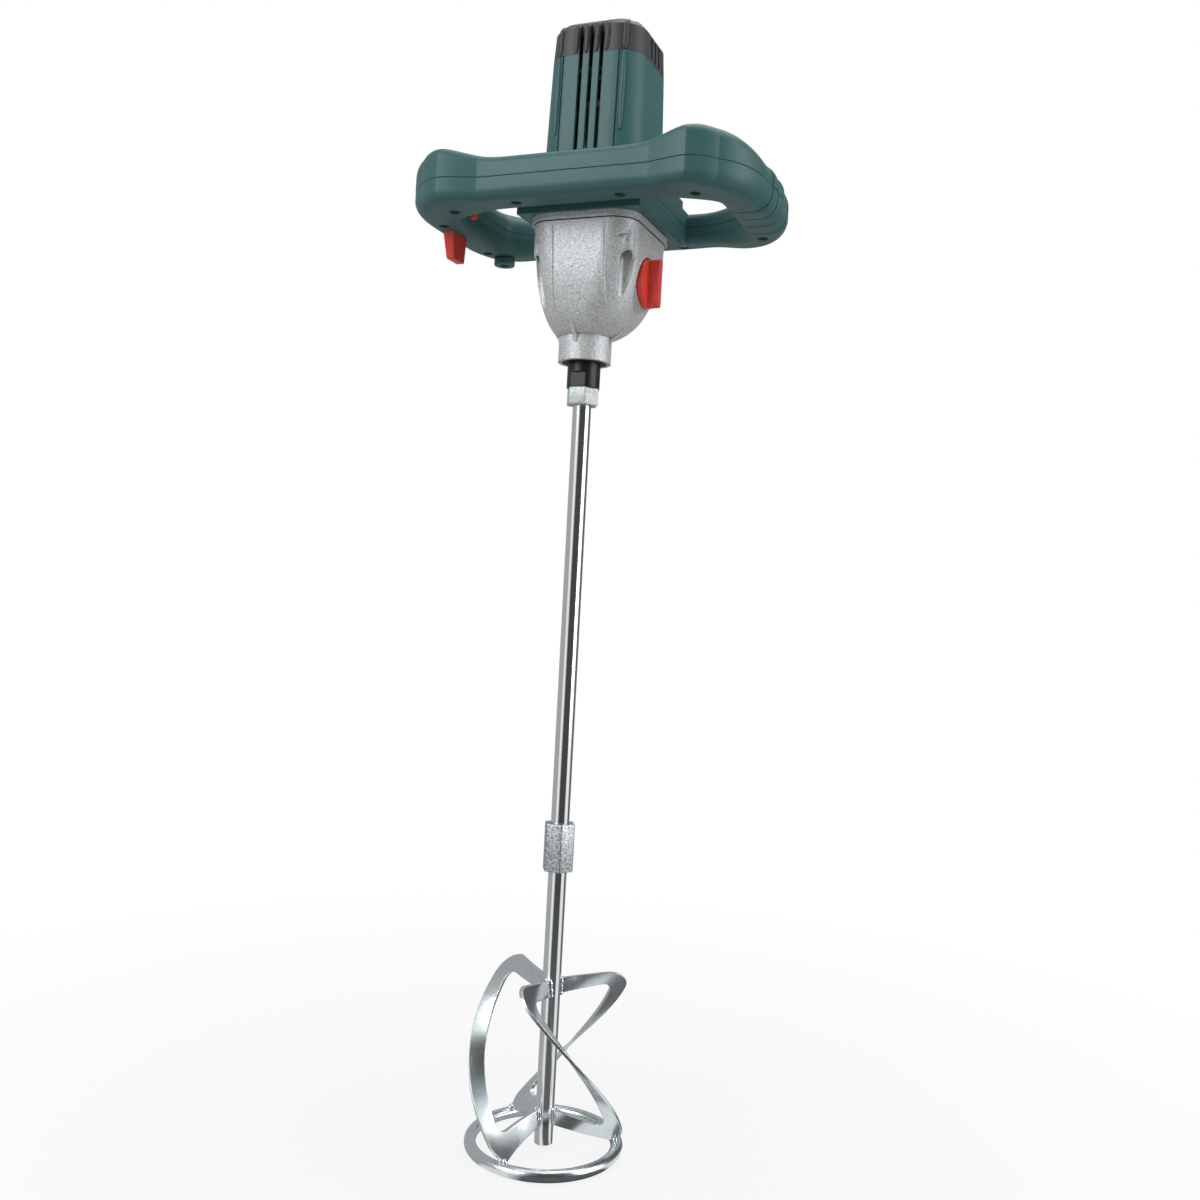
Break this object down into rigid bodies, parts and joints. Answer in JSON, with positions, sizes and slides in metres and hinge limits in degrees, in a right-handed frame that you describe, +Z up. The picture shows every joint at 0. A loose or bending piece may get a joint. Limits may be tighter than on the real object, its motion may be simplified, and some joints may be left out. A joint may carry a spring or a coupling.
{
  "type": "mixing drill",
  "caption": "Hand-held paint and mortar mixing drill: loop handle round an upright motor, geared spindle and long shaft with a twisted-blade ring paddle.",
  "frame": {"origin": "centre of the overall box at the underside of the paddle ring, below the motor axis", "axes": "+X along the loop handle towards the selector knob, +Y to the rear, +Z up along the spindle"},
  "size_m": [0.2719, 0.1669, 0.838],
  "materials": {
    "green_plastic": "fine-textured glass-filled nylon",
    "grey_plastic": "satin moulded",
    "cast_paint": "die-cast with hammered silver paint",
    "cast_alloy": "die-cast",
    "red_plastic": "semi-gloss",
    "black_rubber": "matte",
    "black_steel": "black oxide",
    "zinc_steel": "zinc plated",
    "bright_steel": "drawn and bright zinc plated",
    "copper": "enamelled wire and copper bars",
    "bronze": "sintered",
    "brass": "stamped",
    "carbon": "pressed carbon",
    "black_plastic": "moulded",
    "screw_steel": "zinc plated",
    "tool_steel": "ground"
  },
  "bodies": {
    "tool": {"armature_lower_bearing": "tool_steel", "armature_upper_bearing": "tool_steel", "bearing_bridge": "cast_alloy", "brush_holders": "brass", "cap_screws": "screw_steel", "carbon_brushes": "carbon", "cord_inlet": "green_plastic", "field_coils": "copper", "fork_guide_pin": "tool_steel", "gearbox_cover_plate": "cast_paint", "gearbox_housing": "cast_paint", "gearbox_screws": "screw_steel", "handle_screws": "screw_steel", "layshaft_lower_bush": "bronze", "layshaft_upper_bush": "bronze", "lower_handle_shell": "green_plastic", "motor_housing": "green_plastic", "spindle_bearing": "tool_steel", "spindle_seal": "black_rubber", "spindle_top_bush": "bronze", "stator_core": "tool_steel", "switch_module": "black_plastic", "top_cap": "grey_plastic", "upper_handle_shell": "green_plastic"},
    "spindle": {"spindle": "black_steel", "low_gear": "tool_steel", "hex_nut": "zinc_steel", "upper_shaft": "bright_steel", "coupling_sleeve": "zinc_steel", "lower_shaft": "bright_steel", "paddle_ring": "zinc_steel", "blade_1": "zinc_steel", "blade_2": "zinc_steel", "blade_3": "zinc_steel"},
    "high_gear": {"high_gear": "tool_steel"},
    "layshaft": {"layshaft": "tool_steel", "layshaft_gear": "tool_steel", "high_pinion": "tool_steel"},
    "armature": {"armature_shaft": "tool_steel", "armature_core": "tool_steel", "armature_winding": "copper", "commutator": "copper", "cooling_fan": "black_plastic"},
    "selector": {"selector_knob": "red_plastic", "selector_shaft": "tool_steel"},
    "fork": {"shift_fork": "tool_steel"},
    "collar": {"shift_collar": "tool_steel"},
    "trigger": {"trigger": "red_plastic"},
    "lock": {"lock_button": "red_plastic"}
  },
  "joints": [
    {"name": "spindle_spin", "type": "hinge", "parent": "tool", "child": "spindle", "pos_m": [-0.008, 0, 0.606], "axis": [0, 0, 1], "continuous": true},
    {"name": "high_gear_spin", "type": "hinge", "parent": "tool", "child": "high_gear", "pos_m": [-0.008, 0, 0.67], "axis": [0, 0, 1], "continuous": true},
    {"name": "layshaft_spin", "type": "hinge", "parent": "tool", "child": "layshaft", "pos_m": [0.00027, 0.022, 0.66], "axis": [0, 0, 1], "continuous": true},
    {"name": "armature_spin", "type": "hinge", "parent": "tool", "child": "armature", "pos_m": [0, 0, 0.75], "axis": [0, 0, 1], "continuous": true},
    {"name": "selector_turn", "type": "hinge", "parent": "tool", "child": "selector", "pos_m": [0.04, 0, 0.652], "axis": [1, 0, 0], "range_deg": [0, 180]},
    {"name": "fork_slide", "type": "slide", "parent": "tool", "child": "fork", "axis": [0, 0, 1], "range_m": [0, 0.005]},
    {"name": "collar_slide", "type": "slide", "parent": "spindle", "child": "collar", "axis": [0, 0, 1], "range_m": [0, 0.005]},
    {"name": "trigger_pull", "type": "slide", "parent": "tool", "child": "trigger", "axis": [0, 0, 1], "range_m": [0, 0.006], "stiffness_N_per_m": 500, "springref_m": -0.006},
    {"name": "lock_press", "type": "slide", "parent": "tool", "child": "lock", "axis": [-1, 0, 0], "range_m": [0, 0.0025], "stiffness_N_per_m": 400, "springref_m": -0.003}
  ],
  "couplings": [
    {"joint": "layshaft_spin", "follows": "spindle_spin", "ratio": -3.7},
    {"joint": "armature_spin", "follows": "spindle_spin", "ratio": 16.65},
    {"joint": "high_gear_spin", "follows": "spindle_spin", "ratio": 1.5697},
    {"joint": "selector_turn", "follows": "fork_slide", "rad_per_m": 628.32},
    {"joint": "collar_slide", "follows": "fork_slide", "ratio": 1}
  ]
}
